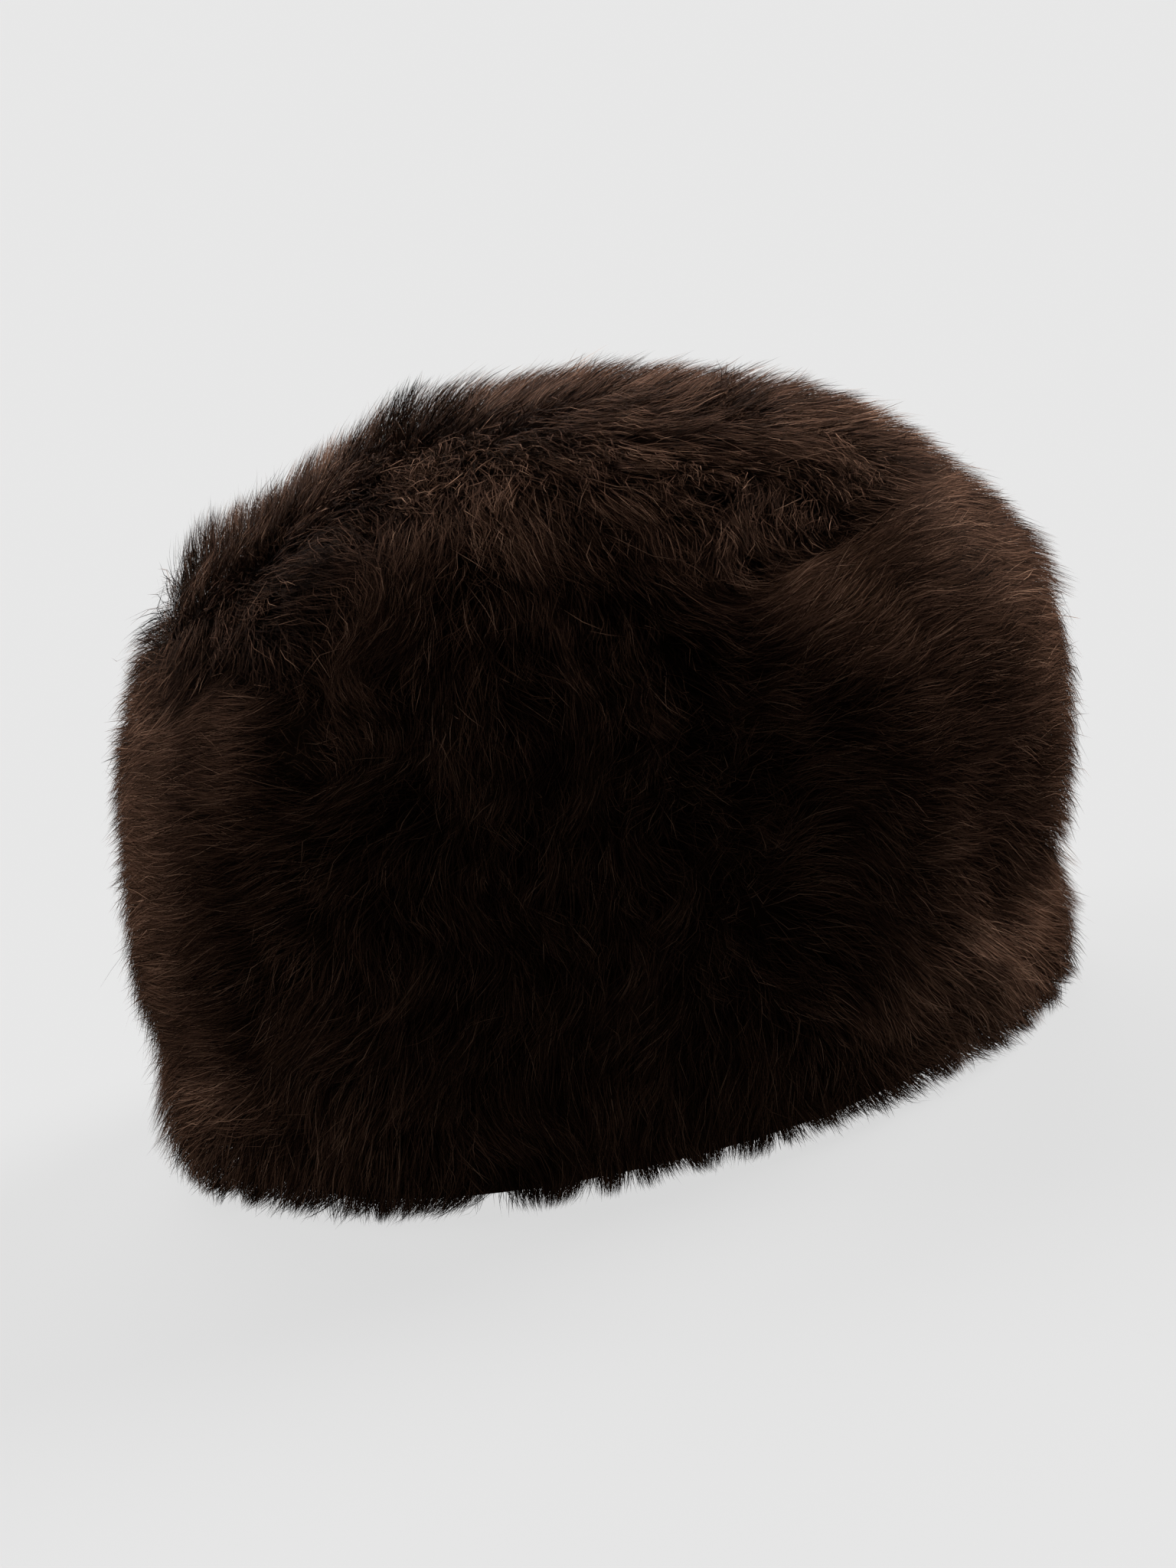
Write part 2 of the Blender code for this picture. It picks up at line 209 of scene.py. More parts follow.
combing = {
    # where in millimetres, how far it reaches, and the way the fur lies there
    "rows": (
        # crown, combed to the front of the hat and over its near edge
        ((45, -30, 180), 30, (1.0, 0.0, -0.25)),
        ((15, -30, 184), 22, (1.0, -0.1, 0.0)),
        ((-18, -42, 182), 20, (0.8, -0.5, -0.2)),
        ((-48, -8, 182), 26, (0.95, -0.2, 0.1)),
        ((-82, 0, 165), 26, (0.9, -0.3, 0.3)),
        ((-62, -42, 170), 20, (0.8, -0.5, -0.1)),
        ((0, 20, 188), 34, (1.0, 0.1, 0.0)),
        ((60, 30, 175), 34, (0.9, 0.4, -0.3)),
        ((-55, 50, 172), 34, (0.6, 0.4, 0.1)),
        # near shoulder, hanging down from the ridge
        ((-66, -69, 158), 20, (0.42, -0.85, -0.32)),
        ((-35, -78, 163), 18, (0.1, -0.7, -0.7)),
        ((-4, -74, 165), 18, (-0.15, -0.7, -0.7)),
        ((26, -80, 161), 18, (0.1, -0.7, -0.7)),
        ((50, -82, 150), 14, (-0.2, -0.6, -0.8)),
        ((-12, -91, 153), 8, (1.0, 0.0, -0.2)),
        ((79, -46, 163), 22, (0.8, -0.2, -0.6)),
        # right third as the camera sees it, swept to the front
        ((104, -52, 137), 22, (0.7, 0.3, -0.65)),
        ((68, -85, 138), 16, (0.8, 0.3, 0.5)),
        ((74, -91, 121), 20, (0.8, 0.55, 0.0)),
        ((117, -53, 102), 24, (0.4, 0.8, -0.45)),
        ((101, -70, 79), 24, (0.6, 0.75, -0.3)),
        ((96, -64, 47), 20, (0.5, 0.6, -0.5)),
        ((52, -103, 67), 16, (0.6, 0.2, -0.7)),
        ((42, -105, 112), 16, (0.6, 0.2, -0.6)),
        # middle, short and tousled
        ((-41, -96, 138), 16, (0.6, -0.4, -0.7)),
        ((-15, -111, 126), 18, (-0.2, -0.2, -1.0)),
        ((14, -111, 120), 16, (-0.1, -0.2, -1.0)),
        ((-30, -112, 88), 18, (-0.5, 0.0, -0.8)),
        ((-5, -115, 83), 18, (-0.1, 0.0, -1.0)),
        ((22, -111, 76), 16, (0.2, 0.0, -1.0)),
        ((-58, -106, 50), 14, (0.05, 0.0, -1.0)),
        ((-30, -109, 45), 18, (-0.1, 0.0, -1.0)),
        ((0, -110, 40), 18, (-0.15, 0.0, -1.0)),
        ((28, -109, 44), 16, (0.1, 0.0, -1.0)),
        ((58, -95, 42), 16, (0.4, 0.1, -0.8)),
        # left third, swept to the back
        ((-71, -88, 134), 18, (0.7, -0.5, -0.5)),
        ((-98, -51, 141), 20, (0.5, -0.5, -0.6)),
        ((-117, -55, 103), 24, (-0.5, 0.85, -0.1)),
        ((-89, -87, 95), 20, (-0.8, 0.6, 0.0)),
        ((-62, -104, 96), 14, (-0.9, 0.3, -0.2)),
        ((-118, -57, 52), 22, (-0.5, 0.8, -0.35)),
        ((-92, -82, 46), 12, (-0.8, 0.5, -0.3)),
        # rim
        ((-116, -60, 19), 20, (-0.5, 0.4, -0.8)),
        ((-78, -94, 14), 20, (-0.2, -0.1, -1.0)),
        ((-20, -108, 8), 26, (0.0, 0.0, -1.0)),
        ((25, -106, 10), 22, (0.0, 0.0, -1.0)),
        ((75, -85, 15), 22, (0.2, 0.1, -1.0)),
        ((110, -45, 20), 22, (0.1, 0.3, -0.9)),
        ((120, 15, 20), 30, (0.0, 0.1, -1.0)),
        ((70, 95, 20), 40, (-0.1, 0.1, -1.0)),
        ((-30, 110, 20), 40, (0.1, 0.0, -1.0)),
        ((-105, 75, 20), 40, (0.1, 0.2, -1.0)),
        # front, back and far side, which the picture leaves unseen
        ((128, 5, 120), 30, (0.3, 0.5, -0.8)),
        ((124, 20, 70), 32, (0.1, -0.2, -1.0)),
        ((-128, 0, 110), 30, (-0.2, 0.6, -0.8)),
        ((-128, 30, 65), 32, (0.1, -0.5, -0.9)),
        ((100, 65, 110), 34, (0.4, -0.7, -0.6)),
        ((85, 85, 60), 32, (-0.5, 0.5, -0.8)),
        ((35, 105, 125), 32, (0.7, 0.0, -0.7)),
        ((20, 112, 65), 32, (-0.2, 0.0, -1.0)),
        ((-40, 105, 120), 32, (-0.6, 0.0, -0.8)),
        ((-50, 105, 65), 30, (0.6, 0.1, -0.8)),
        ((-98, 65, 120), 32, (-0.3, -0.6, -0.8)),
        ((10, 75, 165), 36, (0.2, 0.8, -0.6)),
    ),
    # on the side that the camera sees: where in hundreds of frame pixels from its top left corner, and
    # the way the fur lies there in degrees, 0 to the right and 90 upwards
    "seen": (
        # crown
        (7.0, 5.3, 5), (8.0, 5.0, 8), (9.0, 5.2, 0), (10.0, 5.4, -5), (11.0, 5.7, -12),
        (11.8, 5.7, -12), (12.5, 6.1, -22), (11.5, 6.1, -6), (10.5, 5.7, -8), (12.0, 6.5, -8),
        (12.6, 6.7, -15), (13.0, 7.1, -25), (7.5, 5.6, -12), (8.0, 5.8, -38), (8.6, 5.9, -50),
        (9.4, 5.7, -30), (8.4, 6.4, -45), (7.5, 6.5, -5),
        # near shoulder, left to right
        (5.0, 5.6, -60), (5.6, 6.2, -80), (6.2, 6.0, -88), (6.4, 5.6, -75), (4.2, 6.2, -55),
        (4.5, 6.5, -62), (3.0, 7.0, 172), (3.6, 6.7, -50), (4.0, 7.3, -55), (4.4, 7.5, -48),
        (3.8, 7.6, -60), (4.7, 7.9, -32), (5.0, 6.9, -45), (4.8, 7.2, -55), (5.4, 7.3, -50),
        (5.9, 6.9, -70), (6.2, 7.3, -90), (5.6, 7.6, -40), (6.8, 7.0, -80), (7.6, 7.2, -55),
        (7.8, 6.9, -75), (7.3, 7.6, -100), (8.3, 7.0, -85), (8.5, 7.6, -90), (8.2, 8.0, -65),
        (9.1, 6.1, -52), (9.2, 6.5, -68), (9.8, 6.4, -80), (9.5, 7.0, -85), (9.6, 7.6, -112),
        (10.1, 7.6, -115), (10.4, 6.8, -85), (10.6, 7.2, -95), (10.9, 7.0, -100),
        # left third
        (2.5, 7.6, -60), (3.0, 8.2, -60), (3.2, 8.8, -65), (3.4, 9.3, -50), (2.3, 8.3, -62),
        (2.2, 9.0, -75), (1.8, 9.6, 195), (2.0, 8.5, 205), (3.9, 8.1, -20), (4.0, 8.6, -10),
        (4.6, 8.2, -12), (5.2, 8.4, -12), (4.4, 8.8, -75), (4.3, 9.6, 175), (5.5, 9.0, 200),
        (5.4, 9.4, -38), (5.0, 9.8, -15), (1.7, 10.5, 190), (2.4, 10.0, 185), (3.5, 10.0, 207),
        (2.7, 10.3, 186), (3.8, 10.7, 176), (4.5, 10.4, 190), (5.4, 10.3, 200), (3.0, 11.0, 165),
        (3.8, 11.1, 195), (4.5, 11.2, 205), (4.0, 11.5, 205), (4.4, 11.7, 170), (2.5, 11.3, 215),
        (2.0, 11.4, 198), (3.2, 11.8, 215), (2.2, 12.5, 225), (2.5, 12.9, 230), (2.0, 13.0, 218),
        (2.9, 12.7, 230), (3.0, 13.3, 212), (3.4, 12.3, 203), (4.0, 12.9, 176), (3.4, 13.5, 215),
        (3.0, 14.0, 215), (2.6, 14.3, 215), (3.2, 14.6, 228), (3.6, 14.7, 222), (2.5, 14.7, 225),
        (3.1, 15.1, 205),
        # middle
        (6.0, 8.0, -90), (6.7, 7.9, -8), (6.9, 8.3, -75), (6.4, 8.6, -122), (7.3, 9.0, -50),
        (7.7, 8.6, -110), (7.3, 9.6, -20), (6.4, 9.4, -100), (9.0, 9.0, -50), (8.8, 9.4, -60),
        (9.2, 9.6, -30), (8.5, 9.9, -100), (8.7, 10.8, -60), (8.0, 10.5, -100), (5.6, 11.1, -110),
        (5.3, 11.8, -70), (5.7, 11.9, -35), (6.5, 10.7, -88), (7.0, 11.5, -95), (6.8, 10.3, -52),
        (7.4, 10.2, -30), (7.5, 11.7, -62), (6.5, 11.6, -60), (5.1, 12.6, -115), (6.2, 12.2, -145),
        (7.0, 12.5, -120), (6.7, 13.2, -110), (6.5, 13.8, -15), (7.2, 13.9, 5), (7.8, 13.7, -60),
        (8.6, 12.9, -100), (9.6, 13.0, -100), (9.4, 12.6, -35), (8.8, 13.6, -95), (8.2, 14.0, -60),
        (9.0, 14.3, -25), (9.0, 11.6, -140),
        # right third
        (10.0, 8.5, 35), (10.5, 8.0, 45), (10.8, 7.8, 50), (11.3, 7.5, 30), (11.5, 7.0, 15),
        (12.0, 7.4, 5), (12.5, 7.2, -6), (13.3, 7.7, -20), (11.2, 6.7, 8), (10.5, 8.7, 25),
        (11.0, 8.6, 15), (11.6, 8.5, 10), (12.3, 8.4, 2), (13.0, 8.2, -10), (13.6, 8.6, -4),
        (10.5, 9.2, 25), (11.3, 9.0, 20), (12.1, 9.2, -5), (12.8, 9.4, -15), (13.4, 9.2, -5),
        (9.6, 8.8, 20), (11.0, 9.6, 10), (11.8, 9.6, -5), (10.4, 10.2, 20), (10.9, 10.1, -8),
        (11.0, 10.5, -38), (11.4, 10.7, -50), (10.9, 10.8, -55), (11.8, 11.1, -50), (12.0, 10.3, -16),
        (12.6, 10.1, -10), (13.3, 10.2, 2), (10.5, 11.6, -65), (9.9, 11.3, 35), (11.0, 11.6, -55),
        (11.4, 11.9, -45), (12.1, 11.5, 10), (12.7, 11.5, 12), (13.3, 11.1, 2), (10.4, 12.0, -62),
        (10.5, 12.6, -75), (10.9, 12.4, -70), (11.4, 12.5, -55), (11.8, 12.9, -50), (11.0, 13.1, -65),
        (12.2, 12.5, -70), (12.5, 12.9, -65), (12.9, 12.6, -60), (13.4, 12.4, -75), (12.4, 13.4, -45),
        (13.0, 13.3, -32), (11.4, 13.3, -28),
        # rim
        (4.2, 14.6, -72), (4.4, 14.0, -65), (4.7, 13.7, -95), (4.8, 14.4, -85), (5.1, 14.2, -92),
        (5.4, 13.8, -68), (4.6, 15.0, -62), (5.2, 15.0, -98), (6.0, 14.8, -80), (6.4, 14.4, -86),
        (6.9, 14.6, -72), (7.5, 14.7, -66), (8.2, 14.9, -80), (9.4, 14.8, -85), (10.0, 14.0, -85),
        (10.8, 13.8, -80), (10.9, 14.3, -95), (10.0, 14.8, -60), (11.0, 14.5, -52), (11.8, 14.0, -58),
    ),
    "seenReach": 38.0,    # frame pixels
    "seenWeight": 5,
    "seenFacing": (0.30, 0.55),  # cosines to the camera, from no weight to all of it
    "leastFacing": 0.45,
    "swirl": 0.20,        # radians that the lay wanders
    "swirlSize": 0.050,
    "fineSwirl": 0.27,
    "fineSwirlSize": 0.016,
}


def turned(vectors, axis, angle):
    # v cos a + (n x v) sin a
    angle = np.asarray(angle)[..., None]
    return vectors * np.cos(angle) + np.cross(axis, vectors) * np.sin(angle)


def seenLay(points, normal):
    # the rows' weighted mean in the frame, x = wide / 2 + wide lens / sensor (r . p) / (a . p) and so on,
    # then the way t = c r + s u + k a with k so that t . n = 0; its weight is 0 where the form turns away
    eye, ahead, right, up = (np.array(v) for v in (viewEye, viewAhead, viewRight, viewUp))
    wide, tall = camera["frame"]
    scale = wide * camera["lens"] / camera["sensor"]
    offset = points - eye
    depth = offset @ ahead
    x = wide / 2 + scale * (offset @ right) / depth
    y = tall / 2 - scale * (offset @ up) / depth
    across, upwards = np.zeros(x.shape), np.zeros(x.shape)
    for placeX, placeY, angle in combing["seen"]:
        off = ((x - placeX * 100) ** 2 + (y - placeY * 100) ** 2) / combing["seenReach"] ** 2
        weight = np.exp(-off)
        across += weight * math.cos(math.radians(angle))
        upwards += weight * math.sin(math.radians(angle))
    facing = -(normal @ ahead)
    tilt = across * (normal @ right) + upwards * (normal @ up)
    depthwise = tilt / np.maximum(facing, combing["leastFacing"])
    way = across[:, None] * right + upwards[:, None] * up + depthwise[:, None] * ahead
    low, high = combing["seenFacing"]
    return way * np.clip((facing - low) / (high - low), 0, 1)[:, None] * combing["seenWeight"]


def lay(points, normal):
    # mean of the rows with the weight exp(-(distance / reach)^2), laid flat on the form, turned by noise
    total = seenLay(points, normal)
    for place, spread, way in combing["rows"]:
        off = np.linalg.norm(points * 1000 - np.array(place), axis=-1) / spread
        total += np.exp(-off ** 2)[..., None] * unit(np.array(way))
    total[..., 2] -= 1e-4
    flat = unit(total - normal * (total * normal).sum(-1, keepdims=True))
    angle = combing["swirl"] * waves(points, combing["swirlSize"], 3)
    angle += combing["fineSwirl"] * waves(points, combing["fineSwirlSize"], 4)
    return turned(flat, normal, angle * restless(points))


fluff = (
    # where in millimetres, how far it reaches, and how many millimetres more the tips stand out there
    ((-38, 10, 187), 12, 8.5),
    ((-94, 16, 158), 16, 8.5),
    ((112, -10, 140), 22, 2.5),
    ((128, -20, 92), 9, 3.0),
    ((-122, -45, 24), 18, 4.0),
    ((112, -38, 18), 16, 3.0),
    ((5, 15, 190), 20, 2.0),
)


def extraHeight(points):
    # the table's sum in metres
    return spotSum(points, fluff) / 1000


tousled = (
    # where in millimetres, how far it reaches, and how much more the lay wanders there
    ((0, -115, 75), 48, 0.9),
    ((30, -108, 110), 26, 0.5),
    ((-105, -60, 130), 26, 0.3),
    ((0, 115, 80), 60, 0.5),
    ((-10, -58, 170), 46, -0.32),
    ((-75, -40, 165), 36, -0.30),
    ((110, -50, 100), 40, -0.20),
)
restAtLeast = 0.7


def restless(points):
    # restAtLeast + the table's sum
    return restAtLeast + spotSum(points, tousled)


longPile = (
    # where in millimetres, how far it reaches, and how much longer the pile is there
    ((-10, -62, 170), 46, 0.50),
    ((-70, -50, 164), 34, 0.40),
    ((100, -55, 110), 40, 0.20),
)


def longer(points):
    # 1 + the table's sum
    return 1 + spotSum(points, longPile)


# painted light and painted shade, mixed with a few lighter locks of the fur's own: the negative rows are
# painted shade, chiefly on the near shoulder and the upper left flank, and the rows low on the rim painted
# light
paintedLightAndTone = (
    # where in millimetres, how far it reaches, and how much lighter the strands are there
    ((-16, -50, 180), 9, 0.26),
    ((-17, -64, 174), 8, 0.22),
    ((-72, -44, 166), 24, -0.20),
    ((8, -86, 160), 30, -0.18),
    ((85, -80, 105), 26, -0.08),
    ((79, -83, 28), 26, 0.18),
    ((98, -64, 25), 22, 0.10),
    ((-118, -55, 29), 24, 0.10),
    ((-82, -89, 36), 15, 0.17),
    ((55, -90, 6), 26, 0.14),
    ((90, -68, 6), 26, 0.18),
    ((-40, -98, 135), 9, 0.12),
)


# the form's mean profile from below the rim to the top, which spreads locks and strands evenly
profileRise = np.linspace(form["lowestRoot"], 90, form["profilePoints"])
profileRow = np.clip(((profileRise - form["lowest"]) / form["step"]).astype(int), 0, len(reachCells) - 1)
profileReach = reachCells[profileRow].mean(1)
profileArc = np.concatenate([[0], np.cumsum(profileReach[:-1] * np.radians(np.diff(profileRise)))])


def lockGrid(spacing, seed):
    # rows of cells as wide as they are tall, each with one point somewhere in its middle part
    rng = np.random.default_rng(seed)
    rows = max(2, int(round(profileArc[-1] / spacing)))
    tall = profileArc[-1] / rows
    arc = (np.arange(rows) + 0.5) * tall
    rise = np.interp(arc, profileArc, profileRise)
    around = 2 * math.pi * np.interp(rise, profileRise, profileReach) * np.cos(np.radians(rise))
    counts = np.maximum(3, np.round(around / tall)).astype(int)
    starts = np.concatenate([[0], np.cumsum(counts)])
    row = np.repeat(np.arange(rows), counts)
    place = np.arange(starts[-1]) - starts[row]
    turn = (place + rng.uniform(*locks["middlePart"], len(row))) / counts[row] * 360
    arcs = (row + rng.uniform(*locks["middlePart"], len(row))) * tall
    rises = np.interp(arcs, profileArc, profileRise)
    points = fromBearing(turn, rises)
    return {"tall": tall, "counts": counts, "starts": starts, "rows": rows, "points": points}


def fromBearing(turn, rise):
    # d = (cos r cos t, cos r sin t, sin r), then out to the form
    turn, rise = np.radians(turn), np.radians(rise)
    direction = np.stack([np.cos(rise) * np.cos(turn), np.cos(rise) * np.sin(turn), np.sin(rise)], -1)
    return onForm(middle + direction, 0)


def nearestLock(points, grid):
    # the nearest of the nine points in the cells round each one
    turn, rise = bearings(points - middle)
    arc = np.interp(rise, profileRise, profileArc)
    row = np.clip((arc / grid["tall"]).astype(int), 0, grid["rows"] - 1)
    best = np.full(len(points), 1e9)
    chosen = np.zeros(len(points), dtype=int)
    for stepRow in (-1, 0, 1):
        near = np.clip(row + stepRow, 0, grid["rows"] - 1)
        count = grid["counts"][near]
        column = np.floor(turn / 360 * count).astype(int)
        for step in (-1, 0, 1):
            index = grid["starts"][near] + (column + step) % count
            off = np.linalg.norm(points - grid["points"][index], axis=1)
            closer = off < best
            best[closer] = off[closer]
            chosen[closer] = index[closer]
    return chosen


def strandPath(roots, length, depthRoot, depthTip, bend, turn, rise):
    # marches along the lay in short steps: p += T length / steps, T turned by turn + bend t, and each
    # point lies at depthRoot + (depthTip - depthRoot) t^rise below the form
    steps = pile["steps"]
    points = [onForm(roots, depthRoot)]
    place = onForm(roots, 0)
    for i in range(steps):
        t = (i + 0.5) / steps
        normal = formNormal(place)
        way = turned(lay(place, normal), normal, turn + bend * t)
        place = onForm(place + way * (length / steps)[:, None], 0)
        share = ((i + 1) / steps) ** rise
        points.append(onForm(place, depthRoot + (depthTip - depthRoot) * share))
    points = np.stack(points, 1)
    spot = np.array(pile["marks"]) * steps
    low = np.minimum(spot.astype(int), steps - 1)
    part = (spot - low)[None, :, None]
    return points[:, low] * (1 - part) + points[:, low + 1] * part


pile = {
    "strands": 196000,
    "quickShare": 0.35,   # how many of them a quick try grows, each quickWider times as wide
    "quickWider": 2,
    "length": 0.019,
    "lengthShare": (0.65, 1.2),
    "width": 0.00018,
    "widthShare": (0.7, 1.3),
    "depth": 0.0105,      # how far below the form the roots lie
    "depthSpread": 0.001,
    "proud": 0.0014,      # how far the tips stand past the form on average
    "tipSpread": 0.0022,
    "bend": 0.65,         # radians, spread of the strands' own bends and turns
    "turn": 0.44,
    "rise": (0.55, 1.30),  # power of the path's climb: the lower, the flatter the tips lie
    "steps": 8,
    "marks": (0.08, 0.42, 0.74, 1.0),  # where along its path a strand has its points
    "twist": 0.5,
    "shares": (0.8, 1.0, 0.85),        # width at the first three marks
    "formShare": 0.68,    # how much of a strand's shading follows the form under it and not its own face
    "tone": 0.36,
    "toneSpread": 0.21,
    "shortest": 0.005,
    "lowest": 0.0006,     # of a path above the floor
    "ribbonLowest": 0.0004,
    "uvHalf": 0.0006,     # half a ribbon's width on its UV map
    "turnStep": 0.7548776662,  # shares of a turn and of the area from one root to the next: 1 / p and
    "areaStep": 0.5698402910,  # 1 / p^2 of the plastic number p, which leave no rows or gaps
}
guard = {
    # the few long pale strands that stand out of the pile
    "share": 0.015,
    "longer": 1.2,
    "proud": 0.0025,
    "gather": 0.4,
    "lighter": 0.22,
    "thinner": 0.75,
}
locks = {
    "spacing": 0.0066,
    "bigSpacing": 0.019,
    "middlePart": (0.12, 0.88),  # of its cell, where a lock's own point may lie
    "lengthShare": (0.75, 1.3),
    "bigLonger": 1.2,
    "bend": 0.42,
    "turn": 0.40,
    "tipSpread": 0.0032,
    "gather": 0.60,
    "gatherShare": (0.55, 1.15),
    "gatherBig": 0.42,
    "tone": 0.085,
}


def climb(points, rng):
    # power of each path's climb: lower, so that the tips lie flatter, where the fur is calm
    calm = np.clip(restless(points) / restAtLeast, 0.5, 1.1)
    return rng.uniform(*pile["rise"], len(points)) * calm


def lockPaths(grid, seed, big):
    # one path for the middle of each lock, with its own length, bend, turn and height
    rng = np.random.default_rng(seed)
    n = len(grid["points"])
    length = pile["length"] * rng.uniform(*locks["lengthShare"], n) * longer(grid["points"])
    length *= locks["bigLonger"] if big else 1.0
    unrest = restless(grid["points"])
    bend = rng.normal(0, locks["bend"], n) * unrest
    turn = rng.normal(0, locks["turn"], n) * unrest
    tip = rng.normal(0, locks["tipSpread"], n) - pile["proud"] - extraHeight(grid["points"])
    depth = np.full(n, pile["depth"])
    length = aboveFloor(length, grid["points"], rng)
    return strandPath(grid["points"], length, depth, tip, bend, turn, climb(grid["points"], rng))


def aboveFloor(length, roots, rng):
    # a strand near the rim is about as long as its root is high at the most, and never under shortest
    most = roots[:, 2] * rng.uniform(0.8, 1.05, len(roots))
    return np.minimum(length, np.maximum(most, pile["shortest"]))


rim = {
    "tufts": 90,
    "rise": -18.0,        # degrees below the middle, where the hanging tufts start
    "top": (0.010, 0.024),
    "depth": 0.006,
    "gather": (0.15, 0.80),
    "outward": (-0.001, 0.003),
    "tipHeight": (0.0006, 0.0058),
    "sideways": 0.006,
    "bulge": 0.002,
}


def rimPaths():
    # from a below the form to b above the floor: p = a + (b - a) t + outward bulge sin(pi t)
    rng = np.random.default_rng(51)
    n = rim["tufts"]
    turn = np.sort(rng.random(n)) * 360
    tops = fromBearing(turn, np.full(n, rim["rise"]))
    normal = formNormal(tops)
    start = onForm(tops, rim["depth"])
    outward = unit(tops * (1, 1, 0))
    end = tops + outward * rng.uniform(*rim["outward"], n)[:, None]
    end += np.cross((0, 0, 1), normal) * rng.normal(0, rim["sideways"], n)[:, None]
    low, high = rim["tipHeight"]
    end[:, 2] = low + (high - low) * rng.random(n) ** 1.6
    t = np.array(pile["marks"])[None, :, None]
    bulge = outward[:, None, :] * rim["bulge"] * np.sin(math.pi * t)
    return turn, start[:, None] + (end - start)[:, None] * t + bulge, rng.uniform(*rim["gather"], n)


def growPile():
    # every strand is its own path o(t) drawn to its lock's path s(t): p = o + w t^1.4 (s - o)
    rng = np.random.default_rng(11)
    n = int(pile["strands"] * (1.0))
    index = np.arange(n) + 0.5
    turn = (index * pile["turnStep"]) % 1 * 360
    area = np.concatenate([[0], np.cumsum((profileReach ** 2 * np.cos(np.radians(profileRise)))[:-1])])
    rise = np.interp((index * pile["areaStep"]) % 1, area / area[-1], profileRise)
    roots = fromBearing(turn, rise)
    small = lockGrid(locks["spacing"], 21)
    large = lockGrid(locks["bigSpacing"], 22)
    smallPaths = lockPaths(small, 31, False)
    largePaths = lockPaths(large, 32, True)
    lock = nearestLock(roots, small)
    bigLock = nearestLock(small["points"], large)
    marks = np.array(pile["marks"])

    # locks lean to the bigger lock that they belong to
    pull = locks["gatherBig"] * marks ** 1.3
    smallPaths = smallPaths + (largePaths[bigLock] - smallPaths) * pull[None, :, None]

    length = pile["length"] * rng.uniform(*pile["lengthShare"], n) * longer(roots)
    guarding = rng.random(n) < guard["share"]
    length[guarding] *= guard["longer"]
    length = aboveFloor(length, roots, rng)
    tip = rng.normal(0, pile["tipSpread"], n) - pile["proud"] - extraHeight(roots)
    tip[guarding] -= guard["proud"]
    depth = pile["depth"] + rng.normal(0, pile["depthSpread"], n)
    bend, sideTurn = rng.normal(0, pile["bend"], n), rng.normal(0, pile["turn"], n)
    own = strandPath(roots, length, depth, tip, bend, sideTurn, climb(roots, rng))
    strength = locks["gather"] * rng.uniform(*locks["gatherShare"], n)
    strength[guarding] *= guard["gather"]
    weight = strength[:, None] * marks ** 1.4
    target = smallPaths[lock]

    # near the rim the strands gather into hanging tufts instead
    tuftTurn, tuftPaths, tuftGather = rimPaths()
    low = roots[:, 2] < rng.uniform(*rim["top"], n)
    order = np.searchsorted(tuftTurn, turn[low])
    before, after = (order - 1) % len(tuftTurn), order % len(tuftTurn)
    gapBefore = np.abs((turn[low] - tuftTurn[before] + 180) % 360 - 180)
    gapAfter = np.abs((turn[low] - tuftTurn[after] + 180) % 360 - 180)
    tuft = np.where(gapBefore < gapAfter, before, after)
    target[low] = tuftPaths[tuft]
    weight[low] = (tuftGather[tuft] * rng.uniform(0.4, 1.1, low.sum()))[:, None] * marks ** 1.2
    points = own + (target - own) * weight[:, :, None]
    points[..., 2] = np.maximum(points[..., 2], pile["lowest"])

    lockTone = np.random.default_rng(41).normal(0, 1, len(small["points"]))
    tone = pile["tone"] + locks["tone"] * lockTone[lock] + rng.normal(0, pile["toneSpread"], n)
    # painted light and painted shade from the table, with a few lighter locks of the fur's own
    tone += spotSum(roots, paintedLightAndTone)
    tone[guarding] += guard["lighter"]
    width = pile["width"] * rng.uniform(*pile["widthShare"], n)
    width[guarding] *= guard["thinner"]
    return {"roots": roots, "points": points, "tone": np.clip(tone, 0.02, 0.98), "width": width}


def ribbons(strands, pick, name):
    # a ribbon across each path, p +- s w / 2 with s = T x N turned a little about T, that closes to one
    # tip point after its last quad
    rng = np.random.default_rng(len(name))
    path = strands["points"][pick]
    tone = strands["tone"][pick]
    n = len(path)
    tangent = unit(np.gradient(path, axis=1))
    outward = formNormal(path.reshape(-1, 3)).reshape(path.shape)
    side = unit(np.cross(tangent, outward))
    twist = rng.normal(0, pile["twist"], n)[:, None, None]
    face = np.cross(side, tangent)
    side = side * np.cos(twist) + face * np.sin(twist)
    face = unit(outward * pile["formShare"] + np.cross(side, tangent) * (1 - pile["formShare"]))
    width = strands["width"][pick] * 1
    half = side[:, :3] * (width[:, None] * np.array(pile["shares"]))[:, :, None] / 2
    points = np.empty((n, 7, 3))
    points[:, 0:6:2] = path[:, :3] - half
    points[:, 1:6:2] = path[:, :3] + half
    points[:, 6] = path[:, 3]
    points[..., 2] = np.maximum(points[..., 2], pile["ribbonLowest"])
    start = np.arange(n)[:, None] * 7
    corners = (start + np.array([[0, 1, 3, 2, 2, 3, 5, 4, 4, 5, 6]])).ravel()
    sizes = np.tile([4, 4, 3], n)
    along = np.repeat(np.array(pile["marks"]), 2)[:7]
    across = np.array([-1, 1, -1, 1, -1, 1, 0]) * pile["uvHalf"]
    uv = np.empty((n, 7, 2))
    uv[..., 0] = tone[:, None] + across
    uv[..., 1] = 0.01 + 0.98 * along
    piece = addMesh(name, points.reshape(-1, 3), corners, sizes, uv.reshape(-1, 2)[corners])
    shading = np.repeat(face, 2, axis=1)[:, :7].astype(np.float32).ravel()
    for attribute in ("outer", "custom_normal"):
        made = piece.data.attributes.new(attribute, "FLOAT_VECTOR", "POINT")
        made.data.foreach_set("vector", shading)
    return piece


